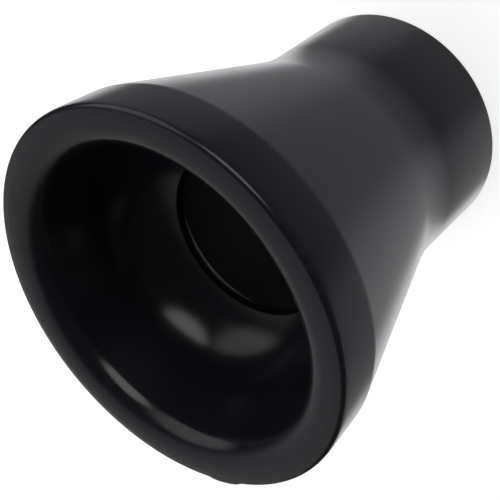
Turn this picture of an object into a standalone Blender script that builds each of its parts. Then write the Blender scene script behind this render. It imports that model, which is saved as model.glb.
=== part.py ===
"""Watchmaker's eye loupe: a black moulded eyecup and barrel holding a two-lens stack.

The loupe stands on the end of its barrel. +Z runs along the axis from the barrel end to the mouth that
fits the eye socket, and the origin is the centre of the barrel's end face. Lengths are metres.
"""
import math

import bmesh
import bpy
from mathutils import Matrix, Vector

MM = 0.001

# Driving dimensions of the body
LENGTH = 37.0 * MM               # barrel end to the crest of the lip
MOUTH_RADIUS = 18.0 * MM
BARREL_RADIUS = 11.85 * MM
BAND_LENGTH = 5.0 * MM           # straight band behind the lip
BAND_DRAFT = 0.3 * MM            # how much the band narrows over its length
CONE_DEPTH = 25.1 * MM           # from the lip to where the outer cone meets the barrel
SEAT_RADIUS = 10.1 * MM          # bore at the barrel end that holds the glasses and the ring
BORE_RADIUS = 9.3 * MM           # narrower bore between the glasses and the bowl
APERTURE_RADIUS = 8.24 * MM      # hole in the floor of the bowl
APERTURE_DEPTH = 12.6 * MM       # from the lip to the hole
APERTURE_LENGTH = 1.1 * MM

# Bowl behind the mouth: a cone that curves into a steep floor round the hole
MOUTH_INNER_RADIUS = 14.42 * MM  # where the bowl's cone would reach the plane of the lip
INNER_DRAFT = math.radians(13.1)
FLOOR_SLOPE = math.radians(64.0)     # from the axis, at the hole
BOWL_ROUND = 8.4 * MM
LIP_ROUND = 2.4 * MM             # radius of the lip's inner side
LIP_CREST_RADIUS = 16.95 * MM    # from here the lip falls to its outer edge
LIP_DROP = 0.2 * MM

# Small mark left where the moulding gate was trimmed, on the outer edge of the lip
GATE_ANGLE = math.radians(150.0)
GATE_WIDTH = math.radians(11.5)
GATE_PROUD = 0.22 * MM
GATE_BAND = 1.1 * MM             # how far the mark reaches back from the crest of the lip

# Lens stack, put in from the barrel end
GAP = 0.3 * MM                   # clearance between neighbouring pieces
STACK_RADIUS = SEAT_RADIUS - GAP
LENS_CURVE = 24.2 * MM           # radius of each glass's domed side
LENS_EDGE = 1.2 * MM
DOME_SPACE = 0.6 * MM            # air between the two domes on the axis
SPACER_INNER_RADIUS = 8.9 * MM
RING_INNER_RADIUS = 8.6 * MM
RING_RECESS = 0.4 * MM           # from the barrel's end face in to the ring
RING_HEIGHT = 2.5 * MM
RING_BEVEL = 0.6 * MM
NOTCH_WIDTH = 1.6 * MM
NOTCH_DEPTH = 1.0 * MM

# Heights of the stack, from the ring up to the shoulder it is pressed against
DOME_HEIGHT = LENS_CURVE - math.sqrt(LENS_CURVE ** 2 - STACK_RADIUS ** 2)
FIELD_FLAT = RING_RECESS + RING_HEIGHT + GAP
FIELD_VERTEX = FIELD_FLAT + LENS_EDGE + DOME_HEIGHT
EYE_VERTEX = FIELD_VERTEX + DOME_SPACE
EYE_FLAT = EYE_VERTEX + LENS_EDGE + DOME_HEIGHT
SHOULDER_HEIGHT = EYE_FLAT + GAP

SIDES = 96                       # flats round each turned piece
DOME_STEPS = 6                   # rings of faces on the domed side of a glass


def clear_scene():
    for obj in list(bpy.data.objects):
        bpy.data.objects.remove(obj, do_unlink=True)


def make_material(name, colour, roughness, transmission=0.0):
    material = bpy.data.materials.new(name)
    material.use_nodes = True
    shader = material.node_tree.nodes["Principled BSDF"]
    shader.inputs["Base Color"].default_value = (*colour, 1.0)
    shader.inputs["Roughness"].default_value = roughness
    shader.inputs["Metallic"].default_value = 0.0
    shader.inputs["Transmission Weight"].default_value = transmission
    material.diffuse_color = (*colour, 1.0)
    return material


def rounded(corners):
    """Turn corners (radius, height, fillet, steps) of a closed outline into points, fillets as arcs."""
    points = []
    for index, (radius, height, fillet, steps) in enumerate(corners):
        here = Vector((radius, height))
        if fillet == 0.0:
            points.append(here)
            continue
        before = Vector(corners[index - 1][:2]) - here
        after = Vector(corners[(index + 1) % len(corners)][:2]) - here
        before.normalize()
        after.normalize()
        half = before.angle(after) / 2
        tangent = fillet / math.tan(half)
        centre = here + (before + after).normalized() * (fillet / math.sin(half))
        start = here + before * tangent - centre
        end = here + after * tangent - centre
        turn = start.angle_signed(end)
        for step in range(steps + 1):
            points.append(centre + Matrix.Rotation(-turn * step / steps, 2) @ start)
    return points


def turned(name, outline, material, on_axis=False, swell=None):
    """Lathe an outline of (radius, height) points about Z; swell adds to the radius by angle and height."""
    mesh = bpy.data.meshes.new(name)
    form = bmesh.new()
    rings = []
    for radius, height in outline:
        if on_axis and radius == 0.0:
            rings.append([form.verts.new((0.0, 0.0, height))])
            continue
        ring = []
        for side in range(SIDES):
            angle = 2 * math.pi * side / SIDES
            reach = radius + (swell(angle, radius, height) if swell else 0.0)
            ring.append(form.verts.new((reach * math.cos(angle), reach * math.sin(angle), height)))
        rings.append(ring)
    pairs = list(zip(rings, rings[1:]))
    if not on_axis:
        pairs.append((rings[-1], rings[0]))
    for lower, upper in pairs:
        for side in range(SIDES):
            following = (side + 1) % SIDES
            if len(lower) == 1:
                form.faces.new((lower[0], upper[following], upper[side]))
            elif len(upper) == 1:
                form.faces.new((lower[side], lower[following], upper[0]))
            else:
                form.faces.new((lower[side], lower[following], upper[following], upper[side]))
    bmesh.ops.recalc_face_normals(form, faces=form.faces)
    form.to_mesh(mesh)
    form.free()
    mesh.shade_smooth()
    mesh.set_sharp_from_angle(angle=math.radians(35))
    obj = bpy.data.objects.new(name, mesh)
    obj.data.materials.append(material)
    bpy.context.scene.collection.objects.link(obj)
    return obj


def gate_mark(angle, radius, height):
    """Extra radius of the trimmed gate: only on the outer edge of the lip, inside its angle."""
    off_centre = abs(angle - GATE_ANGLE)
    outside = radius > MOUTH_RADIUS - 0.5 * MM and height > LENGTH - GATE_BAND
    return GATE_PROUD if outside and off_centre < GATE_WIDTH / 2 else 0.0


def bowl_corner():
    """Radius and height where the bowl's cone and the line of its floor would meet."""
    cone, floor = math.tan(INNER_DRAFT), math.tan(FLOOR_SLOPE)
    depth = (APERTURE_RADIUS - MOUTH_INNER_RADIUS + APERTURE_DEPTH * floor) / (floor - cone)
    return MOUTH_INNER_RADIUS - depth * cone, LENGTH - depth


def make_body(material):
    hole = LENGTH - APERTURE_DEPTH
    corners = [
        (SEAT_RADIUS, 0.0, 0.2 * MM, 2),
        (BARREL_RADIUS, 0.0, 0.4 * MM, 4),
        (BARREL_RADIUS, LENGTH - CONE_DEPTH, 22.0 * MM, 8),
        (MOUTH_RADIUS - BAND_DRAFT, LENGTH - BAND_LENGTH, 2.5 * MM, 4),
        (MOUTH_RADIUS, LENGTH - GATE_BAND, 0.0, 0),
        (MOUTH_RADIUS, LENGTH - LIP_DROP, 0.5 * MM, 4),
        (LIP_CREST_RADIUS, LENGTH, 2.0 * MM, 3),
        (MOUTH_INNER_RADIUS, LENGTH, LIP_ROUND, 9),
        (*bowl_corner(), BOWL_ROUND, 9),
        (APERTURE_RADIUS, hole, 0.0, 0),
        (APERTURE_RADIUS, hole - APERTURE_LENGTH, 0.0, 0),
        (BORE_RADIUS, hole - APERTURE_LENGTH, 0.0, 0),
        (BORE_RADIUS, SHOULDER_HEIGHT, 0.0, 0),
        (SEAT_RADIUS, SHOULDER_HEIGHT, 0.0, 0),
    ]
    return turned("body", rounded(corners), material, swell=gate_mark)


def dome(vertex_height, direction):
    """Points of a domed side from its rim to its vertex, the rim lying on the given side of the vertex."""
    rim = math.asin(STACK_RADIUS / LENS_CURVE)
    points = []
    for step in range(DOME_STEPS + 1):
        slope = rim * (1 - step / DOME_STEPS)
        sag = LENS_CURVE * (1 - math.cos(slope))
        points.append((LENS_CURVE * math.sin(slope), vertex_height + direction * sag))
    points[-1] = (0.0, vertex_height)
    return points


def dome_sag(radius):
    return LENS_CURVE - math.sqrt(LENS_CURVE ** 2 - radius ** 2)


def make_lens_stack(glass, plastic):
    """Two plano-convex glasses, domes facing, with the spacer between them and the ring below."""
    low = [(0.0, FIELD_FLAT), (STACK_RADIUS, FIELD_FLAT)] + dome(FIELD_VERTEX, -1)
    turned("field_lens", low, glass, on_axis=True)
    high = [(0.0, EYE_FLAT), (STACK_RADIUS, EYE_FLAT)] + dome(EYE_VERTEX, 1)
    turned("eye_lens", high, glass, on_axis=True)

    touch = dome_sag(SPACER_INNER_RADIUS)
    tube_low = FIELD_VERTEX - touch + GAP
    tube_high = EYE_VERTEX + touch - GAP
    tube = [(SPACER_INNER_RADIUS, tube_low), (STACK_RADIUS, tube_low),
            (STACK_RADIUS, tube_high), (SPACER_INNER_RADIUS, tube_high)]
    turned("spacer_ring", tube, plastic)

    make_retaining_ring(plastic)


def make_retaining_ring(plastic):
    """Ring with a bevelled inner edge and two notches across its underside for a pin spanner."""
    bottom, top = RING_RECESS, RING_RECESS + RING_HEIGHT
    section = [(RING_INNER_RADIUS + RING_BEVEL, bottom), (STACK_RADIUS, bottom), (STACK_RADIUS, top),
               (RING_INNER_RADIUS, top), (RING_INNER_RADIUS, bottom + RING_BEVEL)]
    ring = turned("retaining_ring", section, plastic)

    box = bmesh.new()
    bmesh.ops.create_cube(box, size=1.0)
    size = (2.4 * STACK_RADIUS, NOTCH_WIDTH, 2 * NOTCH_DEPTH)
    bmesh.ops.scale(box, vec=size, verts=box.verts)
    mesh = bpy.data.meshes.new("notch_cutter")
    box.to_mesh(mesh)
    box.free()
    cutter = bpy.data.objects.new("notch_cutter", mesh)
    cutter.location = (0.0, 0.0, bottom)
    cutter.hide_render = True
    cutter.display_type = "WIRE"
    bpy.context.scene.collection.objects.link(cutter)

    cut = ring.modifiers.new("notches", "BOOLEAN")
    cut.operation = "DIFFERENCE"
    cut.solver = "EXACT"
    cut.object = cutter


def main():
    clear_scene()
    black_plastic = make_material("black_plastic", (0.012, 0.012, 0.014), 0.32)
    glass = make_material("glass", (0.95, 0.97, 0.98), 0.02, transmission=1.0)
    make_body(black_plastic)
    make_lens_stack(glass, make_material("matt_plastic", (0.02, 0.02, 0.02), 0.6))


main()
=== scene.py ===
"""Looks of the watchmaker's eye loupe: moulded black plastic, a threaded seat and two clear glasses.

The loupe stands on its barrel end on a pale floor. Its axis is +Z, and all lengths are metres.
"""
import math

import bmesh
import bpy
from mathutils import Matrix, Vector


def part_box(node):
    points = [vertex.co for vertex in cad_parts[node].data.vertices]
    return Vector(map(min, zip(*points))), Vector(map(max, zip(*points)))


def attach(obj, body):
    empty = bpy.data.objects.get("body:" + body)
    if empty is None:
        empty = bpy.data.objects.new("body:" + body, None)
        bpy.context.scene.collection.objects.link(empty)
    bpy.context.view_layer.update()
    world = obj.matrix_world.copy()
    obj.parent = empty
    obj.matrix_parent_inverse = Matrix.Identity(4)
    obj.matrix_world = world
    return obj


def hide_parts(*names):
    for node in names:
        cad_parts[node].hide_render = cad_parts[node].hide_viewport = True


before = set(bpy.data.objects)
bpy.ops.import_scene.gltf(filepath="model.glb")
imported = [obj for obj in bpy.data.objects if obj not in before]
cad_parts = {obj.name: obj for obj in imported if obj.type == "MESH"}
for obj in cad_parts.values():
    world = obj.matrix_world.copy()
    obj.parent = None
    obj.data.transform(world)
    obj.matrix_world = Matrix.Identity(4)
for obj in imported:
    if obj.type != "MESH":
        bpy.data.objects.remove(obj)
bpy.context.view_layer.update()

MM = 0.001
BODY_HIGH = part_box("body")[1]
RING_LOW, RING_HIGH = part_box("retaining_ring")
SPACER_LOW, SPACER_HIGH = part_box("spacer_ring")
FIELD_LOW, FIELD_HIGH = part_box("field_lens")
EYE_LOW, EYE_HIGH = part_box("eye_lens")

# Body, as in the CAD model
LENGTH = BODY_HIGH.z
MOUTH_RADIUS = BODY_HIGH.x
BARREL_RADIUS = 11.85 * MM
BAND_LENGTH = 5.0 * MM
BAND_DRAFT = 0.3 * MM
CONE_DEPTH = 25.1 * MM
SEAT_RADIUS = 10.1 * MM
BORE_RADIUS = 9.3 * MM
APERTURE_RADIUS = 8.24 * MM
APERTURE_DEPTH = 12.6 * MM
APERTURE_LENGTH = 1.1 * MM
HOLE_EDGE = 0.04 * MM            # edge radii of the hole, above and below, and of the shoulder
UNDER_EDGE = 0.12 * MM
SHOULDER_EDGE = 0.1 * MM
MOUTH_INNER_RADIUS = 14.42 * MM
INNER_DRAFT = math.radians(13.1)
FLOOR_SLOPE = math.radians(64.0)
BOWL_ROUND = 8.4 * MM
LIP_ROUND = 2.4 * MM
LIP_CREST_RADIUS = 16.95 * MM
LIP_DROP = 0.2 * MM
GAP = 0.3 * MM                   # between the near glass and the shoulder
SHOULDER_HEIGHT = EYE_HIGH.z + GAP

GATE_ANGLE = math.radians(150.0)
GATE_WIDTH = math.radians(11.5)
GATE_PROUD = 0.22 * MM
GATE_BAND = 1.1 * MM

# Thread that holds the retaining ring: cut into the seat, and raised on the ring
PITCH = 0.75 * MM
THREAD_DEPTH = 0.25 * MM
RIDGE = 0.22 * MM
FLANK = 1.6                      # steepness of the thread's trapezium
SAME = 0.01 * MM                 # how close a radius is to count as on the thread
SEAT_THREAD = (0.6 * MM, RING_HIGH.z + 0.9 * MM)
RING_THREAD = (RING_LOW.z + 0.25 * MM, RING_HIGH.z - 0.25 * MM)

STACK_RADIUS = FIELD_HIGH.x
LENS_CURVE = 24.2 * MM
LENS_CHAMFER = 0.2 * MM
SPACER_INNER_RADIUS = 8.9 * MM
SPACER_CHAMFER = 0.12 * MM
RING_INNER_RADIUS = 8.6 * MM
RING_BEVEL = 0.6 * MM
CORE_CHAMFER = 0.1 * MM
NOTCH_WIDTH = 1.6 * MM
NOTCH_DEPTH = 1.0 * MM

# Finish
BORE_MATT = 0.5                  # roughness added in the bore
MATT_MARGIN = 0.1 * MM
FLOOR_RADIUS = 1.4
FLOOR_GLOW = 0.75
KEY_ENERGY = 0.75
KEY_ANGLE = math.radians(70)

SIDES = 240
FINE = 10                        # rings of faces along one turn of the thread
DOME_STEPS = 24                  # rings of faces on a glass's domed side


def rounded(corners):
    """Turn corners (radius, height, fillet, steps) of a closed outline into points, fillets as arcs."""
    points = []
    for index, (radius, height, fillet, steps) in enumerate(corners):
        here = Vector((radius, height))
        if fillet == 0.0:
            points.append(here)
            continue
        before = Vector(corners[index - 1][:2]) - here
        after = Vector(corners[(index + 1) % len(corners)][:2]) - here
        before.normalize()
        after.normalize()
        half = before.angle(after) / 2
        tangent = fillet / math.tan(half)
        centre = here + (before + after).normalized() * (fillet / math.sin(half))
        start = here + before * tangent - centre
        end = here + after * tangent - centre
        turn = start.angle_signed(end)
        for step in range(steps + 1):
            points.append(centre + Matrix.Rotation(-turn * step / steps, 2) @ start)
    return points


def divided(start, end, longest):
    """Points from start up to but not including end, no further apart than longest."""
    start, end = Vector(start), Vector(end)
    count = max(1, math.ceil((end - start).length / longest))
    return [start.lerp(end, step / count) for step in range(count)]


def turned(name, outline, material, node, swell=None, sharp=30):
    """Lathe (radius, height) points about Z in place of a CAD node; swell adds to the radius."""
    mesh = bpy.data.meshes.new(name)
    form = bmesh.new()
    rings = []
    on_axis = outline[0][0] == 0.0
    for radius, height in outline:
        if radius == 0.0:
            rings.append([form.verts.new((0.0, 0.0, height))])
            continue
        ring = []
        for side in range(SIDES):
            angle = 2 * math.pi * side / SIDES
            reach = radius + (swell(angle, radius, height) if swell else 0.0)
            ring.append(form.verts.new((reach * math.cos(angle), reach * math.sin(angle), height)))
        rings.append(ring)
    pairs = list(zip(rings, rings[1:]))
    if not on_axis:
        pairs.append((rings[-1], rings[0]))
    for lower, upper in pairs:
        for side in range(SIDES):
            following = (side + 1) % SIDES
            if len(lower) == 1:
                form.faces.new((lower[0], upper[following], upper[side]))
            elif len(upper) == 1:
                form.faces.new((lower[side], lower[following], upper[0]))
            else:
                form.faces.new((lower[side], lower[following], upper[following], upper[side]))
    bmesh.ops.recalc_face_normals(form, faces=form.faces)
    form.to_mesh(mesh)
    form.free()
    mesh.shade_smooth()
    mesh.set_sharp_from_angle(angle=math.radians(sharp))
    obj = bpy.data.objects.new(name, mesh)
    obj.data.materials.append(material)
    bpy.context.scene.collection.objects.link(obj)
    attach(obj, "root")
    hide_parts(node)
    return obj


def helix(angle, height, low, high):
    """Height of a thread's ridge or depth of its groove, 0 to 1, fading out at both ends."""
    turn = (height / PITCH - angle / (2 * math.pi)) % 1.0
    flank = min(1.0, max(0.0, FLANK * (1 - abs(4 * turn - 2))))
    fade = min(1.0, (height - low) / PITCH, (high - height) / PITCH)
    return flank * max(0.0, fade)


def body_swell(angle, radius, height):
    """Extra radius of the body: the trimmed gate on the lip, and the thread cut into the seat."""
    if radius > MOUTH_RADIUS - 0.5 * MM and height > LENGTH - GATE_BAND:
        off_centre = abs(angle - GATE_ANGLE) / (GATE_WIDTH / 2)
        return GATE_PROUD * (1 - off_centre ** 4) if off_centre < 1 else 0.0
    if abs(radius - SEAT_RADIUS) < SAME:
        return THREAD_DEPTH * helix(angle, height, *SEAT_THREAD)
    return 0.0


def ring_swell(angle, radius, height):
    """Extra radius of the retaining ring, whose thread stands out from a smaller core."""
    if abs(radius - (STACK_RADIUS - RIDGE)) < SAME:
        return RIDGE * helix(angle, height, *RING_THREAD)
    return 0.0


def make_body(plastic):
    hole = LENGTH - APERTURE_DEPTH
    cone, floor = math.tan(INNER_DRAFT), math.tan(FLOOR_SLOPE)
    depth = (APERTURE_RADIUS - MOUTH_INNER_RADIUS + APERTURE_DEPTH * floor) / (floor - cone)
    corners = [
        (SEAT_RADIUS, 0.0, 0.2 * MM, 4),
        (BARREL_RADIUS, 0.0, 0.4 * MM, 8),
        (BARREL_RADIUS, LENGTH - CONE_DEPTH, 22.0 * MM, 24),
        (MOUTH_RADIUS - BAND_DRAFT, LENGTH - BAND_LENGTH, 2.5 * MM, 10),
        (MOUTH_RADIUS, LENGTH - GATE_BAND, 0.0, 0),
        (MOUTH_RADIUS, LENGTH - LIP_DROP, 0.5 * MM, 8),
        (LIP_CREST_RADIUS, LENGTH, 2.0 * MM, 6),
        (MOUTH_INNER_RADIUS, LENGTH, LIP_ROUND, 24),
        (MOUTH_INNER_RADIUS - depth * cone, LENGTH - depth, BOWL_ROUND, 32),
        (APERTURE_RADIUS, hole, HOLE_EDGE, 2),
        (APERTURE_RADIUS, hole - APERTURE_LENGTH, UNDER_EDGE, 3),
        (BORE_RADIUS, hole - APERTURE_LENGTH, 0.0, 0),
        (BORE_RADIUS, SHOULDER_HEIGHT, SHOULDER_EDGE, 2),
        (SEAT_RADIUS, SHOULDER_HEIGHT, 0.0, 0),
    ]
    outline = rounded(corners)
    low, high = SEAT_THREAD
    seat = divided((SEAT_RADIUS, high), (SEAT_RADIUS, low), PITCH / FINE) + [Vector((SEAT_RADIUS, low))]
    turned("moulded_body", outline + seat, plastic, "body", swell=body_swell)


def dome(vertex, direction):
    """Points of a glass's domed side from its rim to its vertex, with a polished chamfer at the rim."""
    rim = STACK_RADIUS - LENS_CHAMFER
    edge = LENS_CURVE - math.sqrt(LENS_CURVE ** 2 - rim ** 2)
    points = [(STACK_RADIUS, vertex + direction * (edge + 1.4 * LENS_CHAMFER))]
    for step in range(DOME_STEPS):
        radius = rim * (1 - step / DOME_STEPS)
        sag = LENS_CURVE - math.sqrt(LENS_CURVE ** 2 - radius ** 2)
        points.append((radius, vertex + direction * sag))
    return points + [(0.0, vertex)]


def make_glasses(glass):
    for name, node, flat, vertex in (
        ("far_glass", "field_lens", FIELD_LOW.z, FIELD_HIGH.z),
        ("near_glass", "eye_lens", EYE_HIGH.z, EYE_LOW.z),
    ):
        direction = math.copysign(1.0, flat - vertex)
        rim = [(0.0, flat), (0.7 * STACK_RADIUS, flat), (STACK_RADIUS - LENS_CHAMFER, flat),
               (STACK_RADIUS, flat - direction * LENS_CHAMFER)]
        turned(name, rim + dome(vertex, direction), glass, node, sharp=20)


def make_rings(plastic):
    """Spacer tube between the glasses, and the threaded ring with its spanner notches."""
    tube = [(SPACER_INNER_RADIUS, SPACER_LOW.z, SPACER_CHAMFER, 2),
            (STACK_RADIUS, SPACER_LOW.z, SPACER_CHAMFER, 2),
            (STACK_RADIUS, SPACER_HIGH.z, SPACER_CHAMFER, 2),
            (SPACER_INNER_RADIUS, SPACER_HIGH.z, SPACER_CHAMFER, 2)]
    turned("spacer_tube", rounded(tube), plastic, "spacer_ring")

    bottom, top = RING_LOW.z, RING_HIGH.z
    core = STACK_RADIUS - RIDGE
    low, high = RING_THREAD
    start = [Vector((RING_INNER_RADIUS, bottom + RING_BEVEL)),
             Vector((RING_INNER_RADIUS + RING_BEVEL, bottom)),
             Vector((core - CORE_CHAMFER, bottom)), Vector((core, bottom + CORE_CHAMFER))]
    wall = divided((core, low), (core, high), PITCH / FINE) + [Vector((core, high))]
    finish = [Vector((core, top - CORE_CHAMFER)), Vector((core - CORE_CHAMFER, top)),
              Vector((RING_INNER_RADIUS, top))]
    ring = turned("threaded_ring", start + wall + finish, plastic, "retaining_ring",
                  swell=ring_swell)

    box = bmesh.new()
    bmesh.ops.create_cube(box, size=1.0)
    bmesh.ops.scale(box, vec=(2.4 * STACK_RADIUS, NOTCH_WIDTH, 2 * NOTCH_DEPTH), verts=box.verts)
    mesh = bpy.data.meshes.new("notch_cutter")
    box.to_mesh(mesh)
    box.free()
    cutter = bpy.data.objects.new("notch_cutter", mesh)
    cutter.location = (0.0, 0.0, bottom)
    bpy.context.scene.collection.objects.link(cutter)
    cut = ring.modifiers.new("notches", "BOOLEAN")
    cut.operation = "DIFFERENCE"
    cut.solver = "EXACT"
    cut.object = cutter
    with bpy.context.temp_override(object=ring, active_object=ring, selected_objects=[ring]):
        bpy.ops.object.modifier_apply(modifier=cut.name)
    bpy.data.objects.remove(cutter, do_unlink=True)


def add(tree, kind, **inputs):
    """New shader node with its input values set by name."""
    node = tree.nodes.new(kind)
    for name, value in inputs.items():
        node.inputs[name.replace("_", " ")].default_value = value
    return node


def new_material(name):
    material = bpy.data.materials.new(name)
    material.use_nodes = True
    return material, material.node_tree, material.node_tree.nodes["Principled BSDF"]


def matt_bore(tree, place):
    """Factor that is 1 in the bore between the glasses and the bowl, which is taken to be matt."""
    flat = tree.nodes.new("ShaderNodeVectorMath")
    flat.operation = "MULTIPLY"
    flat.inputs[1].default_value = (1.0, 1.0, 0.0)
    reach = tree.nodes.new("ShaderNodeVectorMath")
    reach.operation = "LENGTH"
    parts = tree.nodes.new("ShaderNodeSeparateXYZ")
    inside, below, both = (tree.nodes.new("ShaderNodeMath") for _ in range(3))
    inside.operation = below.operation = "LESS_THAN"
    both.operation = "MULTIPLY"
    inside.inputs[1].default_value = BORE_RADIUS + MATT_MARGIN
    below.inputs[1].default_value = LENGTH - APERTURE_DEPTH - APERTURE_LENGTH + MATT_MARGIN / 2
    tree.links.new(place.outputs["Object"], flat.inputs[0])
    tree.links.new(place.outputs["Object"], parts.inputs["Vector"])
    tree.links.new(flat.outputs["Vector"], reach.inputs[0])
    tree.links.new(reach.outputs["Value"], inside.inputs[0])
    tree.links.new(parts.outputs["Z"], below.inputs[0])
    tree.links.new(inside.outputs["Value"], both.inputs[0])
    tree.links.new(below.outputs["Value"], both.inputs[1])
    return both.outputs["Value"]


def moulded_plastic(name, colour, roughness):
    """Injection-moulded plastic: fine grain, slow changes of gloss, and a matt bore."""
    material, tree, shader = new_material(name)
    shader.inputs["IOR"].default_value = 1.5
    place = tree.nodes.new("ShaderNodeTexCoord")

    grain = add(tree, "ShaderNodeTexNoise", Scale=3500.0, Detail=2.0, Roughness=0.5)
    waves = add(tree, "ShaderNodeTexNoise", Scale=260.0, Detail=3.0, Roughness=0.5)
    for node in (grain, waves):
        tree.links.new(place.outputs["Object"], node.inputs["Vector"])

    gloss = add(tree, "ShaderNodeMapRange", From_Min=0.3, From_Max=0.7,
                To_Min=roughness - 0.02, To_Max=roughness + 0.03)
    tree.links.new(waves.outputs["Fac"], gloss.inputs["Value"])
    matt = tree.nodes.new("ShaderNodeMath")
    matt.operation = "MULTIPLY_ADD"
    matt.inputs[1].default_value = BORE_MATT
    tree.links.new(matt_bore(tree, place), matt.inputs[0])
    tree.links.new(gloss.outputs["Result"], matt.inputs[2])
    tree.links.new(matt.outputs["Value"], shader.inputs["Roughness"])

    tone = tree.nodes.new("ShaderNodeMix")
    tone.data_type = "RGBA"
    tone.inputs["A"].default_value = (*[0.8 * c for c in colour], 1.0)
    tone.inputs["B"].default_value = (*[1.2 * c for c in colour], 1.0)
    tree.links.new(grain.outputs["Fac"], tone.inputs["Factor"])
    tree.links.new(tone.outputs["Result"], shader.inputs["Base Color"])

    bump = add(tree, "ShaderNodeBump", Strength=0.12, Distance=0.00001)
    tree.links.new(grain.outputs["Fac"], bump.inputs["Height"])
    tree.links.new(bump.outputs["Normal"], shader.inputs["Normal"])
    return material


def clear_glass():
    material, tree, shader = new_material("clear_glass")
    shader.inputs["Base Color"].default_value = (0.97, 0.99, 0.985, 1.0)
    shader.inputs["Transmission Weight"].default_value = 1.0
    shader.inputs["IOR"].default_value = 1.52
    shader.inputs["Roughness"].default_value = 0.0
    return material


def make_floor():
    """Pale floor that glows a little, so that the shadow of the loupe stays faint."""
    mesh = bpy.data.meshes.new("floor")
    form = bmesh.new()
    bmesh.ops.create_circle(form, cap_ends=True, radius=FLOOR_RADIUS, segments=64)
    form.to_mesh(mesh)
    form.free()
    floor = bpy.data.objects.new("floor", mesh)
    bpy.context.scene.collection.objects.link(floor)
    material, tree, shader = new_material("pale_floor")
    shader.inputs["Base Color"].default_value = (0.85, 0.85, 0.85, 1.0)
    shader.inputs["Roughness"].default_value = 0.8
    shader.inputs["Emission Color"].default_value = (1.0, 1.0, 1.0, 1.0)
    shader.inputs["Emission Strength"].default_value = FLOOR_GLOW
    mesh.materials.append(material)
    floor.visible_glossy = False


def toward(azimuth, elevation):
    """Unit vector at an azimuth from -Y towards +X and an elevation above the horizon, in degrees."""
    azimuth, elevation = math.radians(azimuth), math.radians(elevation)
    flat = math.cos(elevation)
    return Vector((math.sin(azimuth) * flat, -math.cos(azimuth) * flat, math.sin(elevation)))


# What surrounds the loupe: azimuth, elevation, half width and soft edge in degrees, and brightness
ROOM = 0.04
GLOWS = (
    (180, -34, 34, 8, 1.00),     # white backdrop behind
    (180, 42, 38, 16, 0.35),     # light above the backdrop
    (0, -90, 36, 10, 0.26),      # floor under the flare
    (-95, -42, 30, 10, 0.29),    # floor to the left
    (95, -42, 24, 10, 0.20),     # floor to the right
    (26, 18, 19, 5, 2.00),       # softbox at the front right
    (84, 20, 27, 8, 0.90),       # softbox at the right
)


def make_world():
    """Soft light from all round the loupe, and a white backdrop for the camera."""
    world = bpy.data.worlds.new("studio")
    world.use_nodes = True
    bpy.context.scene.world = world
    tree = world.node_tree
    room = tree.nodes["Background"]
    room.inputs["Color"].default_value = (0.97, 0.98, 1.0, 1.0)
    place = tree.nodes.new("ShaderNodeTexCoord")
    total = None
    for azimuth, elevation, half, soft, strength in GLOWS:
        facing = tree.nodes.new("ShaderNodeVectorMath")
        facing.operation = "DOT_PRODUCT"
        facing.inputs[1].default_value = toward(azimuth, elevation)
        tree.links.new(place.outputs["Generated"], facing.inputs[0])
        glow = add(tree, "ShaderNodeMapRange", To_Max=strength,
                   From_Min=math.cos(math.radians(half + soft)),
                   From_Max=math.cos(math.radians(half - soft)))
        glow.interpolation_type = "SMOOTHSTEP"
        tree.links.new(facing.outputs["Value"], glow.inputs["Value"])
        both = tree.nodes.new("ShaderNodeMath")
        both.inputs[1].default_value = ROOM
        tree.links.new(glow.outputs["Result"], both.inputs[0])
        if total:
            tree.links.new(total, both.inputs[1])
        total = both.outputs["Value"]
    tree.links.new(total, room.inputs["Strength"])
    backdrop = tree.nodes.new("ShaderNodeBackground")
    backdrop.inputs["Strength"].default_value = 1.0
    path = tree.nodes.new("ShaderNodeLightPath")
    choose = tree.nodes.new("ShaderNodeMixShader")
    tree.links.new(path.outputs["Is Camera Ray"], choose.inputs["Fac"])
    tree.links.new(room.outputs["Background"], choose.inputs[1])
    tree.links.new(backdrop.outputs["Background"], choose.inputs[2])
    tree.links.new(choose.outputs["Shader"], tree.nodes["World Output"].inputs["Surface"])


def make_lights():
    sun = bpy.data.lights.new("key", "SUN")
    sun.energy = KEY_ENERGY
    sun.angle = KEY_ANGLE
    key = bpy.data.objects.new("key", sun)
    key.rotation_mode = "QUATERNION"
    key.rotation_quaternion = toward(180, 65).to_track_quat("Z", "Y")
    key.visible_glossy = False
    bpy.context.scene.collection.objects.link(key)


def make_camera():
    """Camera 40 degrees above the mouth, rolled so that the mouth faces the lower left of the picture."""
    data = bpy.data.cameras.new("camera")
    data.sensor_width = 36.0
    data.lens = 79.2
    data.clip_start = 0.005
    camera = bpy.data.objects.new("camera", data)
    right = Vector((-0.63201, -0.49936, -0.59262))
    down = Vector((-0.77496, 0.40725, 0.48331))
    forward = Vector((0.0, 0.76472, -0.64437))
    mouth = Vector((0.0, 0.0, LENGTH))
    place = mouth - MOUTH_RADIUS * (-0.42399 * right + 0.26897 * down + 4.98710 * forward)
    turn = Matrix((right, -down, -forward)).transposed()
    camera.matrix_world = Matrix.Translation(place) @ turn.to_4x4()
    bpy.context.scene.collection.objects.link(camera)
    bpy.context.scene.camera = camera


def main():
    bpy.context.scene.view_settings.view_transform = "Standard"
    make_camera()
    make_floor()
    make_world()
    make_lights()
    plastic = moulded_plastic("black_plastic", (0.010, 0.0105, 0.0135), 0.18)
    matt = moulded_plastic("matt_plastic", (0.02, 0.02, 0.02), 0.5)
    make_body(plastic)
    make_glasses(clear_glass())
    make_rings(matt)


main()
